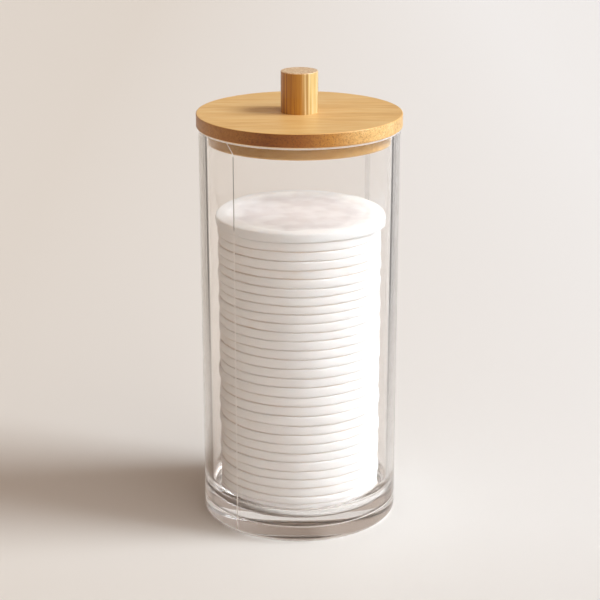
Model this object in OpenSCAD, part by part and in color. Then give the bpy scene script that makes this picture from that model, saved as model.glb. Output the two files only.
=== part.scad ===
// Straight clear jar for a dressing table, with a turned bamboo lid that plugs its mouth,
// a dowel knob held by a screw from below, and a full stack of round cotton pads.
// Millimetres, +Z up, origin at the middle of the jar's underside.

/* [Jar] */
// Outside diameter of the jar
jar_d = 70; // [66:0.5:90]
// Height from the underside to the rim
jar_h = 142.6; // [134:0.2:180]
// Thickness of the side wall
wall_t = 3; // [2:0.25:4]
// Thickness of the floor at its middle
floor_t = 6.5; // [5:0.25:9]
// Radius of the curve that joins floor and wall inside
inner_round = 9; // [3:0.5:11]
// Radius round the bottom edge outside
foot_round = 1.5; // [0.5:0.25:2.5]
// Radius on both edges of the rim
rim_round = 0.5; // [0.2:0.1:0.9]

/* [Lid] */
// Thickness of the part of the lid that lies on the rim
lid_t = 4.75; // [3:0.25:8]
// How far the lid stands out past the jar's side
lid_overhang = 0.75; // [0:0.25:3]
// How deep the plug reaches into the mouth
plug_h = 4.9; // [3:0.1:10]
// Radial play between the plug and the inside of the jar
plug_fit = 0.3; // [0.15:0.05:0.8]
// Radius on the edges of the lid
lid_round = 0.4; // [0.2:0.1:1.2]
// Width of the bevel round the bottom of the plug
plug_bevel = 0.5; // [0.2:0.1:1]

/* [Knob] */
// Diameter of the dowel knob
knob_d = 12.9; // [10:0.1:20]
// Height of the knob above the lid
knob_h = 14.3; // [11:0.1:25]
// Radius on the top edge of the knob
knob_round = 0.4; // [0.2:0.1:1.5]

/* [Screw] */
// Outside diameter of the screw's shank
screw_d = 3.5; // [2.5:0.5:5]
// Length of the screw from the face of its head to its tip
screw_l = 19; // [13:0.5:20]
// Diameter of the countersunk head
screw_head_d = 6.8; // [6:0.1:9]
// Width of the slots of the cross in the head
cross_w = 1.1; // [0.8:0.1:1.4]
// Length of the slots of the cross in the head
cross_l = 3.8; // [3:0.1:4.5]
// Depth of the cross in the head
cross_h = 1.3; // [0.8:0.1:1.6]
// Play round the screw, in the lid's hole and the knob's
screw_fit = 0.05; // [0.03:0.01:0.15]

/* [Cotton pads] */
// How many pads lie in the jar
pad_count = 31; // [2:1:34]
// Mean thickness of a pad in the stack
pad_t = 3.35; // [2.8:0.01:3.6]
// How much a pad's thickness differs from the mean, at most
pad_uneven = 0.2; // [0:0.01:0.3]
// Pads in one swell of the stack, from thin ones to thick ones and back
pad_swell = 24; // [10:1:40]
// Radius round the edge of a pad
pad_round = 0.7; // [0.4:0.1:1.2]
// Mean gap between the edge of a pad and the jar's inside
pad_gap = 3.3; // [2.8:0.1:8]
// Gap between the lowest pad and the curve that it settles on
pad_seat = 0.2; // [0.1:0.05:0.4]
// How much a pad's radius differs from the mean, at most
pad_vary = 0.3; // [0:0.05:0.4]
// How far a pad lies off the jar's middle, at most
pad_stray = 0.25; // [0:0.05:0.4]
// How much wider than the mean the loose top pad is
top_spread = 1.1; // [0:0.1:1.2]
// Depth of the pressed middle of the top pad
press_h = 0.9; // [0.1:0.1:1.2]
// Width of the raised border round that middle
press_rim = 8; // [4:0.5:12]

/* [Hidden] */
$fn = 96;
// Steps in a quarter of a rounded edge
arc_n = 5;
// Overlap that lets a cutting shape reach past the face it cuts
eps = 0.1;

jar_r = jar_d / 2;
inner_r = jar_r - wall_t;
lid_r = jar_r + lid_overhang;
plug_r = inner_r - plug_fit;
plug_z = jar_h - plug_h;
lid_top = jar_h + lid_t;
screw_r = screw_d / 2;
head_r = screw_head_d / 2;
// A countersunk head of 90 degrees is as deep as its radius grows
head_h = head_r - screw_r;
// The point of the screw has the same slope on both sides
tip_h = screw_d;

pad_r = inner_r - pad_gap;
// A pad settles where its rounded edge meets the curve inside the jar
seat_run = max(0, pad_r + pad_vary + pad_stray - pad_round - (inner_r - inner_round));
seat_round = inner_round - pad_round;
seat_rise = seat_round - sqrt(max(0, pow(seat_round, 2) - pow(seat_run, 2)));
pad_z = floor_t + seat_rise + pad_seat;

function pad_name(i) = str("pad_", i < 10 ? "0" : "", i);

// Points of an arc round (x, z), from angle a to angle b
function arc(x, z, r, a, b, n = arc_n) =
    [for (i = [0:n]) let (t = a + (b - a) * i / n) [x + r * cos(t), z + r * sin(t)]];

// Golden angle, which keeps the pads' small differences from repeating
function turn(i) = i * 137.508;
function pad_radius(i) = pad_r + pad_vary * sin(turn(i)) * sin(7 * i)
    + (i == pad_count ? top_spread : 0);
// The pads low in the stack and near its top are pressed thinner than those between
function pad_thick(i) = pad_t - pad_uneven * cos(360 * i / pad_swell);
function pad_low(i) = i == 1 ? pad_z : pad_low(i - 1) + pad_thick(i - 1);
function pad_place(i) = let (s = i == pad_count ? pad_stray / 2 : pad_stray * abs(sin(31 * i)))
    [s * cos(turn(i)), s * sin(turn(i)), pad_low(i)];

// One moulded piece: thick floor, curved corner inside, straight wall
module jar() {
    color([0.85, 0.9, 0.92, 0.35])
    rotate_extrude()
    polygon(concat(
        [[0, 0]],
        arc(jar_r - foot_round, foot_round, foot_round, -90, 0),
        arc(jar_r - rim_round, jar_h - rim_round, rim_round, 0, 90),
        arc(inner_r + rim_round, jar_h - rim_round, rim_round, 90, 180),
        arc(inner_r - inner_round, floor_t + inner_round, inner_round, 0, -90, 2 * arc_n),
        [[0, floor_t]]
    ));
}

// Turned in one piece: the cover that lies on the rim and the plug below it
module lid() {
    color([0.78, 0.56, 0.28])
    difference() {
        rotate_extrude()
        polygon(concat(
            [[0, plug_z], [plug_r - plug_bevel, plug_z], [plug_r, plug_z + plug_bevel], [plug_r, jar_h]],
            arc(lid_r - lid_round, jar_h + lid_round, lid_round, -90, 0),
            arc(lid_r - lid_round, lid_top - lid_round, lid_round, 0, 90),
            [[0, lid_top]]
        ));
        translate([0, 0, plug_z - eps])
        cylinder(h = plug_h + lid_t + 2 * eps, r = screw_r + screw_fit);
        translate([0, 0, plug_z - eps])
        cylinder(h = head_h + eps, r1 = head_r + screw_fit + eps, r2 = screw_r + screw_fit);
    }
}

// Dowel with a pilot hole up its middle
module knob() {
    color([0.75, 0.53, 0.26])
    difference() {
        translate([0, 0, lid_top])
        rotate_extrude()
        polygon(concat(
            [[0, 0], [knob_d / 2, 0]],
            arc(knob_d / 2 - knob_round, knob_h - knob_round, knob_round, 0, 90),
            [[0, knob_h]]
        ));
        translate([0, 0, lid_top - eps])
        cylinder(h = plug_z + screw_l - lid_top + eps + screw_fit, r = screw_r + screw_fit);
    }
}

// Countersunk wood screw, its head flush with the underside of the plug
module lid_screw() {
    color([0.7, 0.7, 0.72])
    translate([0, 0, plug_z])
    difference() {
        rotate_extrude()
        polygon([
            [0, 0], [head_r, 0], [screw_r, head_h],
            [screw_r, screw_l - tip_h], [0, screw_l]
        ]);
        for (a = [0, 90]) rotate([0, 0, a])
        translate([-cross_l / 2, -cross_w / 2, -eps])
        cube([cross_l, cross_w, cross_h + eps]);
    }
}

// Flat disc with a soft edge, and the pressed middle on the top one
module pad(i) {
    r = pad_radius(i);
    t = pad_thick(i);
    top = i == pad_count;
    press_r = r - press_rim;
    color([0.97, 0.97, 0.96])
    translate(pad_place(i))
    rotate_extrude()
    polygon(concat(
        [[0, 0]],
        arc(r - pad_round, pad_round, pad_round, -90, 0),
        arc(r - pad_round, t - pad_round, pad_round, 0, 90),
        top ? [[press_r + press_h, t], [press_r - press_h, t - press_h]] : [],
        [[0, top ? t - press_h : t]]
    ));
}

jar();
lid();
knob();
lid_screw();
for (i = [1:pad_count])
    pad(i);
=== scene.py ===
"""Looks of the vanity storage jar: a clear plastic jar, a bamboo lid with its knob and screw,
and a stack of cotton pads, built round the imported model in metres."""
import math

import bpy
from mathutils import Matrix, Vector, noise


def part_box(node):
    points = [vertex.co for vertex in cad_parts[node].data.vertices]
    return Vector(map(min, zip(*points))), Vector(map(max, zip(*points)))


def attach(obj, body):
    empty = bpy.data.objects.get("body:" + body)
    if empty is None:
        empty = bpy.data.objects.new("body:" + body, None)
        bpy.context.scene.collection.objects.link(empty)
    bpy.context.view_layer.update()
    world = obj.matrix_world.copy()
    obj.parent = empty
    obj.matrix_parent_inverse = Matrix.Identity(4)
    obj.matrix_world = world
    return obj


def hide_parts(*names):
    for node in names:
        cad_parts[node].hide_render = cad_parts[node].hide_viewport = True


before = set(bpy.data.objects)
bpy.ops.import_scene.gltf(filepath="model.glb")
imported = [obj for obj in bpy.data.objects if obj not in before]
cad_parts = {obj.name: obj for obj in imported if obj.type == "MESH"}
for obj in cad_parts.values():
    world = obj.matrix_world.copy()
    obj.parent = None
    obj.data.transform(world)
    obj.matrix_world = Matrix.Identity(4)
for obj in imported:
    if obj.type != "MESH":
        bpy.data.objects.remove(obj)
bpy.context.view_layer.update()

MM = 0.001

# Camera, fitted to the photograph's verticals, rim and foot
CAMERA_PLACE = (0.0002, -0.577479, 0.270256)
CAMERA_PITCH = 0.3203
CAMERA_LENS = 101.956
SENSOR = 36.0

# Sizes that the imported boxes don't give, in metres
WALL_T = 3.0 * MM
FLOOR_T = 6.5 * MM
INNER_ROUND = 9.0 * MM
FOOT_ROUND = 1.5 * MM
RIM_ROUND = 0.5 * MM
# Top band of the rim, in the seam material with its painted highlight
RIM_HIGHLIGHT_BAND = 0.75 * MM
PLUG_FIT = 0.3 * MM
PLUG_BEVEL = 0.5 * MM
LID_ROUND = 0.4 * MM
KNOB_ROUND = 0.4 * MM
SCREW_HOLE_R = 1.8 * MM
SCREW_HEAD_R = 3.45 * MM
SCREW_HEAD_H = 1.65 * MM
SCREW_TIP_Z = 156.75 * MM

# Soft edge of a cotton pad
PAD_EDGE = 0.6 * MM
PAD_BULGE = 0.06 * MM

# Mould seam up the jar's front: angle round the axis from the front, turning towards +X, in degrees
FRONT_SEAM = -39.0
SEAM_HALF_WIDTH = 0.2 * MM
SEAM_DEPTH = 0.05 * MM
# Near the rim the seam runs off to one side and takes the wall within its reach along, in degrees
SEAM_VEER = -5.0
SEAM_REACH = 20.0
SEAM_VEER_H = 4.1 * MM
# Frosted band up the far side, from one angle to the other, whose pale colour is a painted reflection of a light
# strip
BACK_BAND = (127.6, 132.4)

# Fine mould line round the outside of the foot, by height: a frosted groove whose pale colour is a painted
# highlight, and above it a band of painted shade
RING_BRIGHT = (5.9 * MM, 6.3 * MM)
RING_DARK = (6.5 * MM, 7.15 * MM)
RING_DEPTH = 0.1 * MM

# Heights between which one colour changes into the next: the foot's paler tint, the painted edge lines fading lower
# down, the seam's painted shade and painted highlight, the painted shade on the lid's edge, weaker on the plug, and
# the knob's end grain
FOOT_TINT = (10 * MM, 16 * MM)
EDGE_LINES_FADE = (25 * MM, 90 * MM)
SEAM_OVER_PADS = (111.5 * MM, 113 * MM)
SEAM_AT_PLUG = (137.4 * MM, 138 * MM)
COVER_SIDE = (142.4 * MM, 142.7 * MM)
KNOB_END = (161.3 * MM, 161.6 * MM)
# Where the knob's painted shade on the left meets its painted highlight on the right, along X
KNOB_SHADE_EDGE = (0.6 * MM, 2.6 * MM)
# Radii between which a pad's painted warm shade in the crease between pads gives way to its pale colour, and the
# middle of the top pad with its painted shade
PAD_CREASE_SHADE = (27.9 * MM, 28.5 * MM)
TOP_MIDDLE = 23 * MM
TOP_MIDDLE_SOFT = 4 * MM
# Gap that keeps neighbouring pads apart, on each side of a seam
PAD_APART = 0.03 * MM

# Floor of the studio, a square just under the jar
STAGE_HALF = 8.0
STAGE_Z = -0.3 * MM

# Key lamp: direction it shines from, and its apparent width
KEY_AZIMUTH = 83.0
KEY_ELEVATION = 41.0
KEY_WIDTH = 24.0
KEY_STRENGTH = 2.6
KEY_COLOR = (0.87, 0.94, 1.0)
# Soft lamp on the right of the camera
SIDE_AZIMUTH = 44.0
SIDE_ELEVATION = 25.0
SIDE_WIDTH = 58.0
SIDE_STRENGTH = 0.78
SIDE_COLOR = (0.965, 0.98, 0.99)
# The room: a pale band low all round, brightest on the right, and a dim ceiling
ROOM_LEFT = (1.27, 1.03, 0.85)
ROOM_RIGHT = (1.20, 1.00, 0.86)
ROOM_BEHIND = ((-0.45, (0.66, 0.57, 0.50)), (-0.22, (0.66, 0.57, 0.50)), (-0.06, (0.38, 0.31, 0.26)),
               (0.10, (0.40, 0.33, 0.28)), (0.4, (0.52, 0.45, 0.40)))
ROOM_ABOVE = (0.228, 0.165, 0.128)
# Weak lamp under the lid, in place of the light that a clear wall gathers and scatters inside
INSIDE_PLACE = (-15 * MM, 3 * MM, 136.5 * MM)
INSIDE_WIDTH = 24 * MM
INSIDE_POWER = 0.0072
INSIDE_COLOR = (0.87, 0.94, 1.0)

scene = bpy.context.scene
scene.view_settings.view_transform = "Standard"
scene.cycles.use_denoising = True
scene.cycles.max_bounces = 64
scene.cycles.diffuse_bounces = 10
scene.cycles.transmission_bounces = 64
scene.cycles.glossy_bounces = 64
scene.cycles.transparent_max_bounces = 16


def make_camera():
    """The photograph's viewpoint."""
    data = bpy.data.cameras.new("camera")
    camera = bpy.data.objects.new("camera", data)
    scene.collection.objects.link(camera)
    camera.location = CAMERA_PLACE
    camera.rotation_euler = (math.pi / 2 - CAMERA_PITCH, 0, 0)
    data.lens = CAMERA_LENS
    data.sensor_width = SENSOR
    data.clip_start = 0.01
    scene.camera = camera


# Shader helpers


def new_material(name):
    """A material with one Principled shader, returned with its tree and that shader."""
    material = bpy.data.materials.new(name)
    material.use_nodes = True
    tree = material.node_tree
    return material, tree, tree.nodes["Principled BSDF"]


def add(tree, kind, **values):
    """A new node whose named sockets get values, or links where the value is a socket.
    The names i0, i1 and so on stand for sockets by number."""
    node = tree.nodes.new(kind)
    for key, value in values.items():
        socket = node.inputs[int(key[1:])] if key[0] == "i" and key[1:].isdigit() else None
        if socket is None:
            name = key.replace("_", " ")
            if name in node.inputs:
                socket = node.inputs[name]
            else:
                setattr(node, key, value)
                continue
        if isinstance(value, bpy.types.NodeSocket):
            tree.links.new(value, socket)
        else:
            socket.default_value = value
    return node


def coords(tree, scale=(1, 1, 1), turn=(0, 0, 0)):
    """Object coordinates in metres, scaled and turned."""
    source = tree.nodes.new("ShaderNodeTexCoord")
    mapping = tree.nodes.new("ShaderNodeMapping")
    mapping.inputs["Scale"].default_value = scale
    mapping.inputs["Rotation"].default_value = turn
    tree.links.new(source.outputs["Object"], mapping.inputs["Vector"])
    return mapping.outputs["Vector"]


def axis_of(tree, axis):
    """One object coordinate, in metres."""
    split = tree.nodes.new("ShaderNodeSeparateXYZ")
    tree.links.new(coords(tree), split.inputs["Vector"])
    return split.outputs[axis]


def grain(tree, vector, scale, detail=3.0, rough=0.5):
    """Fractal noise between 0 and 1."""
    node = add(tree, "ShaderNodeTexNoise", Vector=vector, Scale=scale, Detail=detail, Roughness=rough)
    return node.outputs["Fac"]


def ramp(tree, fac, *stops):
    """Colour ramp with stops of (place, colour)."""
    node = tree.nodes.new("ShaderNodeValToRGB")
    tree.links.new(fac, node.inputs["Fac"])
    while len(node.color_ramp.elements) < len(stops):
        node.color_ramp.elements.new(0.5)
    for element, (place, color) in zip(node.color_ramp.elements, stops):
        element.position = place
        element.color = (*color, 1)
    return node.outputs["Color"]


def level(tree, fac, low, high, to_low=0.0, to_high=1.0):
    """Maps fac from low..high to to_low..to_high and clamps it."""
    node = tree.nodes.new("ShaderNodeMapRange")
    tree.links.new(fac, node.inputs["Value"])
    for key, value in (("From Min", low), ("From Max", high), ("To Min", to_low), ("To Max", to_high)):
        node.inputs[key].default_value = value
    return node.outputs["Result"]


def blend_color(tree, fac, a, b, how="MIX"):
    """Mix of two colours, each a tuple or a socket."""
    node = tree.nodes.new("ShaderNodeMix")
    node.data_type = "RGBA"
    node.blend_type = how
    for key, value in ((0, fac), (6, a), (7, b)):
        if isinstance(value, bpy.types.NodeSocket):
            tree.links.new(value, node.inputs[key])
        elif key == 0:
            node.inputs[key].default_value = value
        else:
            node.inputs[key].default_value = (*value, 1)
    return node.outputs[2]


def math_node(tree, how, a, b=0.0):
    """Sum, product or other operation on two values, each a number or a socket."""
    node = tree.nodes.new("ShaderNodeMath")
    node.operation = how
    for key, value in ((0, a), (1, b)):
        if isinstance(value, bpy.types.NodeSocket):
            tree.links.new(value, node.inputs[key])
        else:
            node.inputs[key].default_value = value
    return node.outputs[0]


def bump(tree, shader, height, distance, strength=1.0, under=None):
    """Bump of a height in metres, after another bump if there is one."""
    node = add(tree, "ShaderNodeBump", Height=height, Distance=distance, Strength=strength)
    if under is not None:
        tree.links.new(under, node.inputs["Normal"])
    tree.links.new(node.outputs["Normal"], shader.inputs["Normal"])
    return node.outputs["Normal"]


# Materials


def clear_plastic(name, with_edge_lines):
    """Polished acrylic. Lamps shine through it, a little less where it is seen edge on. Its edge lines are painted.
    """
    material, tree, shader = new_material(name)
    height = axis_of(tree, "Z")
    clear, foot = (0.96, 0.943, 0.927), (0.99, 0.96, 0.95)
    color = blend_color(tree, level(tree, height, *FOOT_TINT), foot, clear)
    # Painted reflection: dark lines where the wall is seen edge on, standing in for dark surroundings seen through
    # it, weaker lower down
    if with_edge_lines:
        dark, line, edge = (0.025, 0.024, 0.023), (0.10, 0.097, 0.093), (0.42, 0.405, 0.39)
        edge_on = add(tree, "ShaderNodeLayerWeight", Blend=0.5).outputs["Facing"]
        painted_edge_lines = ramp(tree, edge_on, (0.0, clear), (0.605, clear), (0.622, dark), (0.65, dark), (0.665, edge),
                    (0.685, edge), (0.70, line), (0.72, edge), (0.95, edge), (1.0, dark))
        upper = level(tree, height, *EDGE_LINES_FADE, 0.5, 1.0)
        color = blend_color(tree, upper, color, painted_edge_lines)
    tree.links.new(color, shader.inputs["Base Color"])
    shader.inputs["Transmission Weight"].default_value = 1.0
    shader.inputs["IOR"].default_value = 1.49
    shader.inputs["Roughness"].default_value = 0.0
    shader.inputs["Specular Tint"].default_value = (0.45, 0.45, 0.45, 1)
    wave = grain(tree, coords(tree, (1, 1, 0.35)), 45.0, 1.0)
    bump(tree, shader, wave, 0.02 * MM)
    output = tree.nodes["Material Output"]
    facing = add(tree, "ShaderNodeLayerWeight", Blend=0.35).outputs["Facing"]
    dimmed = ramp(tree, facing, (0, (0.94, 0.94, 0.94)), (1, (0.40, 0.40, 0.40)))
    let_through = add(tree, "ShaderNodeBsdfTransparent", Color=dimmed)
    path = tree.nodes.new("ShaderNodeLightPath")
    mix = add(tree, "ShaderNodeMixShader", i0=path.outputs["Is Shadow Ray"], i1=shader.outputs["BSDF"],
              i2=let_through.outputs["BSDF"])
    tree.links.new(mix.outputs["Shader"], output.inputs["Surface"])
    return material


def seam_plastic():
    """The frosted line where the two halves of the mould met, and the frosted edge of the rim. Its colour paints
    light and shade by height: a pale painted highlight at the plug and the rim, painted shade between the pads and
    the plug, pale over the pads.
    """
    material, tree, shader = new_material("seam_plastic")
    spots = grain(tree, coords(tree), 900.0, 2.0)
    frosted = ramp(tree, spots, (0.3, (0.82, 0.81, 0.80)), (0.7, (0.96, 0.95, 0.94)))
    height = axis_of(tree, "Z")
    # Painted highlight from the plug up, painted shade above the pads
    below_plug = level(tree, height, *SEAM_AT_PLUG, 1.0, 0.0)
    shade_above_pads = level(tree, height, *SEAM_OVER_PADS)
    line = blend_color(tree, shade_above_pads, (0.86, 0.84, 0.82), (0.30, 0.28, 0.27))
    tree.links.new(blend_color(tree, below_plug, frosted, line), shader.inputs["Base Color"])
    shader.inputs["Roughness"].default_value = 0.45
    shader.inputs["Transmission Weight"].default_value = 0.25
    shader.inputs["IOR"].default_value = 1.49
    return material


def shade_plastic():
    """Painted shade: the dark band just above the mould line at the foot."""
    material, tree, shader = new_material("shade_plastic")
    spots = grain(tree, coords(tree), 120.0, 2.0)
    color = ramp(tree, spots, (0.35, (0.10, 0.085, 0.075)), (0.65, (0.30, 0.27, 0.25)))
    tree.links.new(color, shader.inputs["Base Color"])
    shader.inputs["Roughness"].default_value = 0.1
    shader.inputs["Transmission Weight"].default_value = 0.85
    shader.inputs["IOR"].default_value = 1.49
    return material


def highlight_haze_plastic():
    """Lightly frosted plastic, pale as a painted highlight: the bright ring at the foot, and a painted reflection
    of a light strip in the band on the far side.
    """
    material, tree, shader = new_material("highlight_haze_plastic")
    spots = grain(tree, coords(tree), 700.0, 2.0)
    color = ramp(tree, spots, (0.3, (0.90, 0.89, 0.88)), (0.7, (0.99, 0.98, 0.97)))
    tree.links.new(color, shader.inputs["Base Color"])
    shader.inputs["Roughness"].default_value = 0.3
    shader.inputs["Transmission Weight"].default_value = 0.6
    shader.inputs["IOR"].default_value = 1.49
    return material


def bamboo(name, along, tilt, length, bands, dark, light, pale, contrast):
    """Oiled bamboo with its fibres along one axis, turned by a few degrees.
    Length stretches the fibres, bands is the share of broad streaks among the fine ones."""
    material, tree, shader = new_material(name)
    stretch = [1.0, 1.0, 1.0]
    stretch["XYZ".index(along)] = 1 / length
    turn = (0, 0, math.radians(tilt))
    lines = grain(tree, coords(tree, stretch, turn), 900.0, 4.0, 0.6)
    broad = grain(tree, coords(tree, stretch, turn), 180.0, 3.0, 0.5)
    cloud = grain(tree, coords(tree), 60.0, 2.0)
    fine_part = math_node(tree, "MULTIPLY", lines, 1 - bands)
    broad_part = math_node(tree, "MULTIPLY", broad, bands)
    tone = math_node(tree, "ADD", fine_part, broad_part)
    base = ramp(tree, tone, (0.5 - contrast, dark), (0.5, light), (0.5 + contrast, pale))
    color = blend_color(tree, level(tree, cloud, 0.35, 0.7, 0.0, 0.25), base, dark)
    shader.inputs["Specular IOR Level"].default_value = 0.5
    tree.links.new(level(tree, lines, 0.3, 0.7, 0.46, 0.34), shader.inputs["Roughness"])
    bump(tree, shader, lines, 0.03 * MM)
    return material, tree, shader, color


def lid_bamboo():
    """Flat cover: soft streaks on the faces, speckled end grain round the edge, with painted shade by X, darkest
    left of the middle, and a pale painted highlight to the right, half as strong on the plug.
    """
    material, tree, shader, face = bamboo(
        "bamboo", along="X", tilt=-28, length=12, bands=0.5,
        dark=(0.72, 0.40, 0.13), light=(0.92, 0.575, 0.215), pale=(1.0, 0.71, 0.34), contrast=0.20)
    geometry = tree.nodes.new("ShaderNodeNewGeometry")
    split = tree.nodes.new("ShaderNodeSeparateXYZ")
    tree.links.new(geometry.outputs["Normal"], split.inputs["Vector"])
    edge = level(tree, math_node(tree, "ABSOLUTE", split.outputs["Z"]), 0.8, 0.4)
    edge = math_node(tree, "MULTIPLY", edge, level(tree, axis_of(tree, "Z"), *COVER_SIDE, 0.5, 1.0))
    # Painted light and shade round the edge: painted shade on the left and middle, a pale painted highlight on the
    # right
    place = level(tree, axis_of(tree, "X"), -30 * MM, 30 * MM)
    shade = ramp(tree, place, (0.0, (0.40, 0.27, 0.12)), (0.32, (0.215, 0.098, 0.006)), (0.5, (0.30, 0.152, 0.025)),
                 (0.68, (0.52, 0.375, 0.15)), (0.9, (0.83, 0.86, 0.90)))
    speckle = grain(tree, coords(tree), 1900.0, 3.0, 0.7)
    dots = ramp(tree, speckle, (0.36, (0.50, 0.42, 0.30)), (0.48, (1.0, 1.0, 1.0)), (0.64, (1.15, 1.18, 1.2)))
    speckled_shade = blend_color(tree, 0.75, shade, blend_color(tree, 1.0, shade, dots, "MULTIPLY"))
    side = blend_color(tree, 1.0, face, speckled_shade, "MULTIPLY")
    tree.links.new(blend_color(tree, edge, face, side), shader.inputs["Base Color"])
    return material


def dowel_bamboo():
    """Turned dowel with strong streaks along it, painted shade on its left and a pale painted highlight on its
    right, split along X.
    """
    material, tree, shader, face = bamboo(
        "bamboo_dowel", along="Z", tilt=0, length=40, bands=0.25,
        dark=(0.42, 0.18, 0.02), light=(0.72, 0.41, 0.08), pale=(0.90, 0.62, 0.22), contrast=0.2)
    strips = grain(tree, coords(tree, (1.0, 1.0, 0.01)), 1150.0, 2.0, 0.5)
    streak = ramp(tree, strips, (0.37, (0.62, 0.48, 0.30)), (0.46, (1.0, 1.0, 1.0)), (0.6, (1.10, 1.13, 1.18)))
    # Painted shade on the left half, painted highlight on the right
    painted_shade_and_highlight = blend_color(tree, level(tree, axis_of(tree, "X"), *KNOB_SHADE_EDGE), (0.56, 0.41, 0.10), (0.96, 1.24, 2.35))
    streaks_with_painted_light = blend_color(tree, 1.0, streak, painted_shade_and_highlight, "MULTIPLY")
    side = blend_color(tree, 1.0, face, streaks_with_painted_light, "MULTIPLY")
    pores = grain(tree, coords(tree), 1500.0, 3.0, 0.7)
    end = ramp(tree, pores, (0.38, (0.62, 0.38, 0.19)), (0.5, (0.86, 0.61, 0.37)), (0.64, (0.95, 0.76, 0.52)))
    color = blend_color(tree, level(tree, axis_of(tree, "Z"), *KNOB_END), side, end)
    tree.links.new(color, shader.inputs["Base Color"])
    shader.inputs["Coat Weight"].default_value = 0.3
    shader.inputs["Coat Roughness"].default_value = 0.35
    return material


def cotton(name, middle=None):
    """Pressed cotton wool: matt, slightly translucent, with fine matted fibres and painted warm shade in the
    creases between pads.
    The top pad has instead a darker, pinker, mottled middle of painted shade, of the given radius in metres."""
    material, tree, shader = new_material(name)
    tuft = grain(tree, coords(tree), 260.0, 4.0, 0.6)
    fibre = grain(tree, coords(tree), 2600.0, 5.0, 0.65)
    shade = blend_color(tree, level(tree, fibre, 0.35, 0.65), (0.87, 0.88, 0.89), (0.915, 0.92, 0.925))
    across = add(tree, "ShaderNodeVectorMath", i0=coords(tree, (1, 1, 0)))
    across.operation = "LENGTH"
    if middle:
        # Painted shade in the pressed middle of the top pad, mottled
        uneven = level(tree, grain(tree, coords(tree), 95.0, 3.0), 0.3, 0.7, -3 * MM, 3 * MM)
        reach = math_node(tree, "ADD", across.outputs["Value"], uneven)
        share = level(tree, reach, middle + TOP_MIDDLE_SOFT, middle - TOP_MIDDLE_SOFT)
        mottled_shade = grain(tree, coords(tree), 150.0, 3.0)
        middle_shade = ramp(tree, mottled_shade, (0.38, (0.585, 0.565, 0.585)), (0.6, (0.655, 0.65, 0.672)))
        shade = blend_color(tree, share, (0.86, 0.885, 0.905), middle_shade)
    else:
        # Painted warm shade in the creases between pads, inside the crease radius
        out = level(tree, across.outputs["Value"], *PAD_CREASE_SHADE)
        shade = blend_color(tree, out, (0.82, 0.71, 0.62), shade)
    tree.links.new(shade, shader.inputs["Base Color"])
    shader.inputs["Roughness"].default_value = 0.95
    shader.inputs["Specular IOR Level"].default_value = 0.15
    shader.inputs["Sheen Weight"].default_value = 0.12
    shader.inputs["Sheen Roughness"].default_value = 0.6
    shader.inputs["Subsurface Weight"].default_value = 0.5
    shader.inputs["Subsurface Radius"].default_value = (1.0, 0.9, 0.85)
    shader.inputs["Subsurface Scale"].default_value = 1.5 * MM
    first = bump(tree, shader, tuft, 0.10 * MM)
    bump(tree, shader, fibre, 0.05 * MM, under=first)
    return material


def steel():
    """Zinc-plated steel with fine turning marks."""
    material, tree, shader = new_material("screw_steel")
    marks = grain(tree, coords(tree, (1, 1, 12)), 900.0, 3.0)
    color = ramp(tree, marks, (0.3, (0.50, 0.50, 0.51)), (0.7, (0.66, 0.66, 0.67)))
    tree.links.new(color, shader.inputs["Base Color"])
    shader.inputs["Metallic"].default_value = 1.0
    tree.links.new(level(tree, marks, 0.3, 0.7, 0.25, 0.45), shader.inputs["Roughness"])
    bump(tree, shader, marks, 0.01 * MM)
    return material


def floor_material():
    """Seamless pale floor with painted light: darker and warmer to the left, away from the key lamp, and a little
    darker towards the front.
    """
    material, tree, shader = new_material("studio_floor")
    # Painted falloff of light across the floor
    across = level(tree, axis_of(tree, "X"), -0.16, 0.2)
    color = ramp(tree, across, (0.0, (0.81, 0.757, 0.688)), (1.0, (0.965, 0.965, 0.955)))
    front = level(tree, axis_of(tree, "Y"), -0.02, -0.14, 0.0, 1.0)
    color = blend_color(tree, front, color, (0.925, 0.912, 0.893), "MULTIPLY")
    tree.links.new(color, shader.inputs["Base Color"])
    shader.inputs["Roughness"].default_value = 0.9
    shader.inputs["Specular IOR Level"].default_value = 0.1
    bump(tree, shader, grain(tree, coords(tree), 300.0, 2.0), 0.02 * MM)
    return material


# Mesh helpers


def link(name, verts, faces, material, smooth=True, sharp=25.0):
    """A new object from vertices and faces, smooth up to an angle in degrees."""
    mesh = bpy.data.meshes.new(name)
    mesh.from_pydata(verts, [], faces)
    mesh.validate()
    mesh.materials.append(material)
    if smooth:
        mesh.polygons.foreach_set("use_smooth", [True] * len(mesh.polygons))
        mesh.set_sharp_from_angle(angle=math.radians(sharp))
    piece = bpy.data.objects.new(name, mesh)
    scene.collection.objects.link(piece)
    return piece


def arc(x, z, radius, start, end, steps):
    """Points (r, z) of an arc round (x, z), angles in degrees."""
    turn = [math.radians(start + (end - start) * i / steps) for i in range(steps + 1)]
    return [(x + radius * math.cos(t), z + radius * math.sin(t)) for t in turn]


def held(profile, longest=1.5 * MM, inset=0.04 * MM, closed=True):
    """The profile with a point near both ends of each long edge, so smooth shading keeps it flat."""
    out = []
    count = len(profile)
    for i, a in enumerate(profile):
        out.append(a)
        if not closed and i == count - 1:
            break
        b = profile[(i + 1) % count]
        length = math.dist(a, b)
        if length > longest:
            for share in (inset / length, 1 - inset / length):
                out.append((a[0] + (b[0] - a[0]) * share, a[1] + (b[1] - a[1]) * share))
    return out


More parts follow.
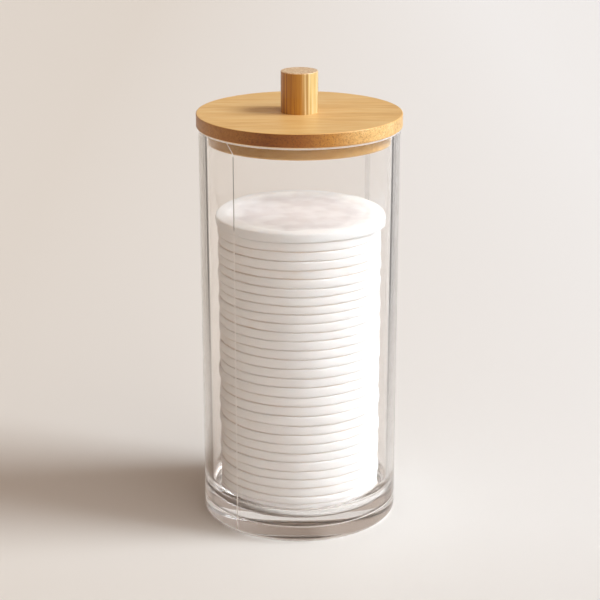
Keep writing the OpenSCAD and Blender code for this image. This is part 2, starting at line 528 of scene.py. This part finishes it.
def ring_faces(rings, closed):
    """Faces between neighbouring rings of vertices. A ring of one vertex closes to a point."""
    faces = []
    for a, b in zip(rings, rings[1:] + (rings[:1] if closed else [])):
        count = max(len(a), len(b))
        if count == 1:
            continue
        for k in range(count):
            n = (k + 1) % count
            if len(a) == 1:
                faces.append((a[0], b[n], b[k]))
            elif len(b) == 1:
                faces.append((a[k], a[n], b[0]))
            else:
                faces.append((a[k], a[n], b[n], b[k]))
    return faces


def revolve(name, profile, material, angles=256, shape=None):
    """A turned piece. The profile goes up the outside, angles are a count or a list in radians,
    and shape(r, angle, z) gives a vertex another radius and angle."""
    turns = [2 * math.pi * k / angles for k in range(angles)] if isinstance(angles, int) else angles
    verts, rings = [], []
    for r, z in profile:
        if r < 1e-9:
            rings.append([len(verts)])
            verts.append((0, 0, z))
            continue
        rings.append(list(range(len(verts), len(verts) + len(turns))))
        for t in turns:
            rr, tt = shape(r, t, z) if shape else (r, t)
            verts.append((rr * math.cos(tt), rr * math.sin(tt), z))
    return link(name, verts, ring_faces(rings, True), material)


def dress(piece, body, material_slot, *nodes):
    """The piece rides on a body and stands for CAD nodes. The material slot is not used."""
    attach(piece, body)
    if nodes:
        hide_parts(*nodes)
    return piece


# Pieces


def make_jar(plastic, line, inside, bright_haze, shade):
    """One closed wall with curved corner, rounded rim, fine mould seams and two fine rings at the foot."""
    low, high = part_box("jar")
    outer, top = high.x, high.z
    inner = outer - WALL_T
    profile = [(0, low.z)]
    profile += arc(outer - FOOT_ROUND, FOOT_ROUND, FOOT_ROUND, -90, 0, 8)
    profile += [(outer, RING_BRIGHT[0]), (outer - RING_DEPTH, sum(RING_BRIGHT) / 2), (outer, RING_BRIGHT[1])]
    profile += [(outer, z) for z in RING_DARK]
    profile += [(outer, top - SEAM_VEER_H), (outer, top - RIM_HIGHLIGHT_BAND)]
    profile += arc(outer - RIM_ROUND, top - RIM_ROUND, RIM_ROUND, 0, 90, 6)
    profile += arc(inner + RIM_ROUND, top - RIM_ROUND, RIM_ROUND, 90, 180, 6)
    profile += [(inner, top - SEAM_VEER_H)]
    profile += arc(inner - INNER_ROUND, FLOOR_T + INNER_ROUND, INNER_ROUND, 0, -90, 24)
    profile += [(0, FLOOR_T)]
    profile = held(profile)
    half = SEAM_HALF_WIDTH / outer
    seam = math.radians(FRONT_SEAM - 90)
    band = [math.radians(place - 90) for place in BACK_BAND]
    turns = [-math.pi + 2 * math.pi * k / 256 for k in range(256)]
    turns = [t for t in turns if abs(t - seam) > 3 * half]
    turns = sorted(turns + [seam + half * k for k in (-2, -1, -0.5, 0, 0.5, 1, 2)] + band)

    def groove(r, t, z):
        depth, shift = 0.0, 0.0
        if r > inner + WALL_T / 2 and z > FOOT_ROUND:
            depth = max(0.0, 1 - abs(t - seam) / half)
        if z > top - SEAM_VEER_H:
            near = max(0.0, 1 - abs(t - seam) / math.radians(SEAM_REACH))
            share = min(1.0, (z - top + SEAM_VEER_H) / (SEAM_VEER_H - RIM_ROUND))
            shift = math.radians(SEAM_VEER) * share * near
        return r - SEAM_DEPTH * depth, t + shift

    jar = revolve("jar_clear", profile, plastic, turns, shape=groove)
    for material in (line, inside, bright_haze, shade):
        jar.data.materials.append(material)
    veer = math.radians(SEAM_VEER)
    for face in jar.data.polygons:
        x, y, z = face.center
        r, t = math.hypot(x, y), math.atan2(y, x)
        if r < inner + WALL_T / 2:
            face.material_index = 2 if z > FOOT_ROUND else 0
            continue
        if z < FOOT_ROUND:
            continue
        share = min(1.0, max(0.0, (z - top + SEAM_VEER_H) / (SEAM_VEER_H - RIM_ROUND)))
        # The seam and the rim take the seam material with its painted highlight and shade, the far band and the
        # bright ring a painted highlight, the dark ring painted shade
        if abs(t - seam - veer * share) < half or z > top - RIM_HIGHLIGHT_BAND:
            face.material_index = 1
        elif band[0] < t < band[1] or RING_BRIGHT[0] < z < RING_BRIGHT[1]:
            face.material_index = 3
        elif RING_DARK[0] < z < RING_DARK[1]:
            face.material_index = 4
    return dress(jar, "root", "clear_plastic", "jar")


def make_lid(wood):
    """Cover and plug turned in one piece, with the countersunk hole of the screw."""
    low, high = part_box("lid")
    jar_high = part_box("jar")[1]
    jar_top = jar_high.z
    outer, plug = high.x, jar_high.x - WALL_T - PLUG_FIT
    profile = [(SCREW_HEAD_R, low.z), (plug - PLUG_BEVEL, low.z), (plug, low.z + PLUG_BEVEL), (plug, jar_top)]
    profile += arc(outer - LID_ROUND, jar_top + LID_ROUND, LID_ROUND, -90, 0, 5)
    profile += arc(outer - LID_ROUND, high.z - LID_ROUND, LID_ROUND, 0, 90, 5)
    profile += [(SCREW_HOLE_R, high.z), (SCREW_HOLE_R, low.z + SCREW_HEAD_H)]
    return dress(revolve("lid_bamboo", held(profile), wood), "lid", "bamboo", "lid")


def make_knob(wood):
    """Dowel with a rounded top edge and the screw's hole up its middle."""
    low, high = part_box("knob")
    outer = high.x
    profile = [(SCREW_HOLE_R, low.z), (outer, low.z)]
    profile += arc(outer - KNOB_ROUND, high.z - KNOB_ROUND, KNOB_ROUND, 0, 90, 5)
    profile += [(0, high.z), (0, SCREW_TIP_Z), (SCREW_HOLE_R, SCREW_TIP_Z)]
    ring = held(profile[:-3] + [(0, high.z)], closed=False) + profile[-2:]
    return dress(revolve("knob_bamboo", ring, wood, 128), "lid", "bamboo_dowel", "knob")


def seam_height(i, count, x, y):
    """How far the seam above pad i lies off its mean height, at x and y."""
    if i == 0 or i == count:
        return 0.0
    spot = Vector((x * 42, y * 42, i * 3.7))
    return 0.22 * MM * noise.noise(spot)


def pad_rings(radius, edge, thick, face):
    """Rings of a pad as (radius, share of the height), from the middle below round to the middle above."""
    flat = [(radius - edge) * k / face for k in range(face + 1)]
    corner = [math.radians(15 * k) for k in range(7)]
    rise = edge / thick
    rings = [(r, 0.0) for r in flat]
    rings += [(radius - edge + edge * math.sin(t), rise * (1 - math.cos(t))) for t in corner[1:]]
    rings += [(radius + PAD_BULGE, 0.5)]
    rings += [(radius - edge + edge * math.cos(t), 1 - rise * (1 - math.sin(t))) for t in corner[:-1]]
    return rings + [(r, 1.0) for r in flat[::-1]]


def make_pad(i, count, material):
    """A pressed cotton round: soft half-round edge of uneven outline, faces that follow the neighbours."""
    name = f"pad_{i:02d}"
    low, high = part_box(name)
    centre = (low + high) / 2
    radius, thick = (high.x - low.x) / 2, high.z - low.z
    last = i == count
    turns = 288 if last else 192
    verts, index = [], []
    for r, share_up in pad_rings(radius, PAD_EDGE, thick, 44 if last else 9):
        count_here = turns if r > 0 else 1
        index.append(list(range(len(verts), len(verts) + count_here)))
        for k in range(count_here):
            t = 2 * math.pi * k / turns
            c, s = math.cos(t), math.sin(t)
            wob = noise.noise(Vector((c * 2.2, s * 2.2, i * 5.3))) * 0.22 * MM
            wob += noise.noise(Vector((c * 9, s * 9, i * 2.9 + share_up))) * 0.14 * MM
            wob += noise.noise(Vector((c * 30, s * 30, i * 1.7 + share_up * 2))) * 0.08 * MM
            if last:
                wob += noise.noise(Vector((c * 1.3, s * 1.3, 9.1))) * 0.9 * MM - 0.2 * MM
            rr = r + wob * (r / radius) ** 2
            x, y = centre.x + rr * c, centre.y + rr * s
            lower = low.z + seam_height(i - 1, count, x, y) + PAD_APART
            upper = high.z + seam_height(i, count, x, y) - PAD_APART
            if last:
                upper += top_relief(rr, t, radius)
            verts.append((x, y, lower + (upper - lower) * share_up))
    pad = link(f"cotton_{name}", verts, ring_faces(index, False), material, sharp=60)
    dress(pad, "root", "cotton", name)
    return pad


def top_relief(r, t, radius):
    """The pressed middle of the top pad, inside a loose border."""
    c, s = math.cos(t), math.sin(t)
    inner = radius - top_border(c, s)
    drop = min(1.0, max(0.0, (inner - r) / (2.5 * MM) + 0.5))
    drop = drop * drop * (3 - 2 * drop)
    x, y = r * c, r * s
    mottle = noise.noise(Vector((x * 190, y * 190, 1.0))) * 0.16 * MM
    mottle += noise.noise(Vector((x * 520, y * 520, 3.0))) * 0.06 * MM
    rim = 0.2 * MM * noise.noise(Vector((c * 3.1, s * 3.1, 2.0)))
    return -0.45 * MM * drop + mottle * drop + rim * (1 - drop)


def top_border(c, s):
    """Width of the top pad's border in one direction."""
    wide = 2.5 * noise.noise(Vector((c * 1.9, s * 1.9, 7.0)))
    fine = 1.0 * noise.noise(Vector((c * 7, s * 7, 4.0)))
    return (5.5 + wide + fine) * MM


def make_stage():
    """The floor, which isn't part of the object."""
    corners = ((-1, -1), (1, -1), (1, 1), (-1, 1))
    verts = [(x * STAGE_HALF, y * STAGE_HALF, STAGE_Z) for x, y in corners]
    floor = link("floor", verts, [(0, 1, 2, 3)], floor_material(), smooth=False)


def make_lamp(name, azimuth, elevation, width, strength, color):
    """A wide, distant lamp. Azimuth is from the front, turning towards +X, in degrees."""
    data = bpy.data.lights.new(name, "SUN")
    data.energy = strength
    data.angle = math.radians(width)
    data.color = color
    lamp = bpy.data.objects.new(name, data)
    scene.collection.objects.link(lamp)
    a, e = math.radians(azimuth), math.radians(elevation)
    towards = Vector((math.sin(a) * math.cos(e), -math.cos(a) * math.cos(e), math.sin(e)))
    lamp.location = towards
    lamp.rotation_euler = towards.to_track_quat("Z", "Y").to_euler()


def make_light():
    """The room as a gradient, the two lamps and the weak one inside the jar."""
    world = bpy.data.worlds.new("studio")
    scene.world = world
    world.use_nodes = True
    background = world.node_tree.nodes["Background"]
    tree = world.node_tree
    source = tree.nodes.new("ShaderNodeTexCoord")
    split = tree.nodes.new("ShaderNodeSeparateXYZ")
    tree.links.new(source.outputs["Generated"], split.inputs["Vector"])
    low = level(tree, split.outputs["Z"], 0.55, 0.35)
    behind = level(tree, split.outputs["Y"], 0.1, 0.5)
    lower = level(tree, split.outputs["Z"], 0.40, 0.25)
    left = blend_color(tree, lower, ROOM_ABOVE, ROOM_LEFT)
    right = level(tree, split.outputs["X"], -0.2, 0.2)
    across = level(tree, split.outputs["X"], -0.5, 0.5)
    back = ramp(tree, across, *((place + 0.5, color) for place, color in ROOM_BEHIND))
    around = blend_color(tree, behind, blend_color(tree, right, left, ROOM_RIGHT), back)
    tree.links.new(blend_color(tree, low, ROOM_ABOVE, around), background.inputs["Color"])
    make_lamp("key", KEY_AZIMUTH, KEY_ELEVATION, KEY_WIDTH, KEY_STRENGTH, KEY_COLOR)
    make_lamp("side", SIDE_AZIMUTH, SIDE_ELEVATION, SIDE_WIDTH, SIDE_STRENGTH, SIDE_COLOR)
    data = bpy.data.lights.new("inside", "AREA")
    data.shape, data.size = "DISK", INSIDE_WIDTH
    data.energy, data.color = INSIDE_POWER, INSIDE_COLOR
    inside = bpy.data.objects.new("inside", data)
    inside.location = INSIDE_PLACE
    inside.visible_camera = inside.visible_glossy = inside.visible_transmission = False
    scene.collection.objects.link(inside)


make_camera()
make_stage()
make_light()

make_jar(
    plastic=clear_plastic("clear_plastic", True),
    line=seam_plastic(),
    inside=clear_plastic("clear_plastic_inside", False),
    bright_haze=highlight_haze_plastic(),
    shade=shade_plastic(),
)
make_lid(lid_bamboo())
make_knob(dowel_bamboo())

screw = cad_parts["lid_screw"]
screw.data.materials.clear()
screw.data.materials.append(steel())

pad_nodes = sorted(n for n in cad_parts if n.startswith("pad_"))
wool, top_wool = cotton("cotton"), cotton("cotton_top", TOP_MIDDLE)
for number in range(1, len(pad_nodes) + 1):
    make_pad(number, len(pad_nodes), top_wool if number == len(pad_nodes) else wool)
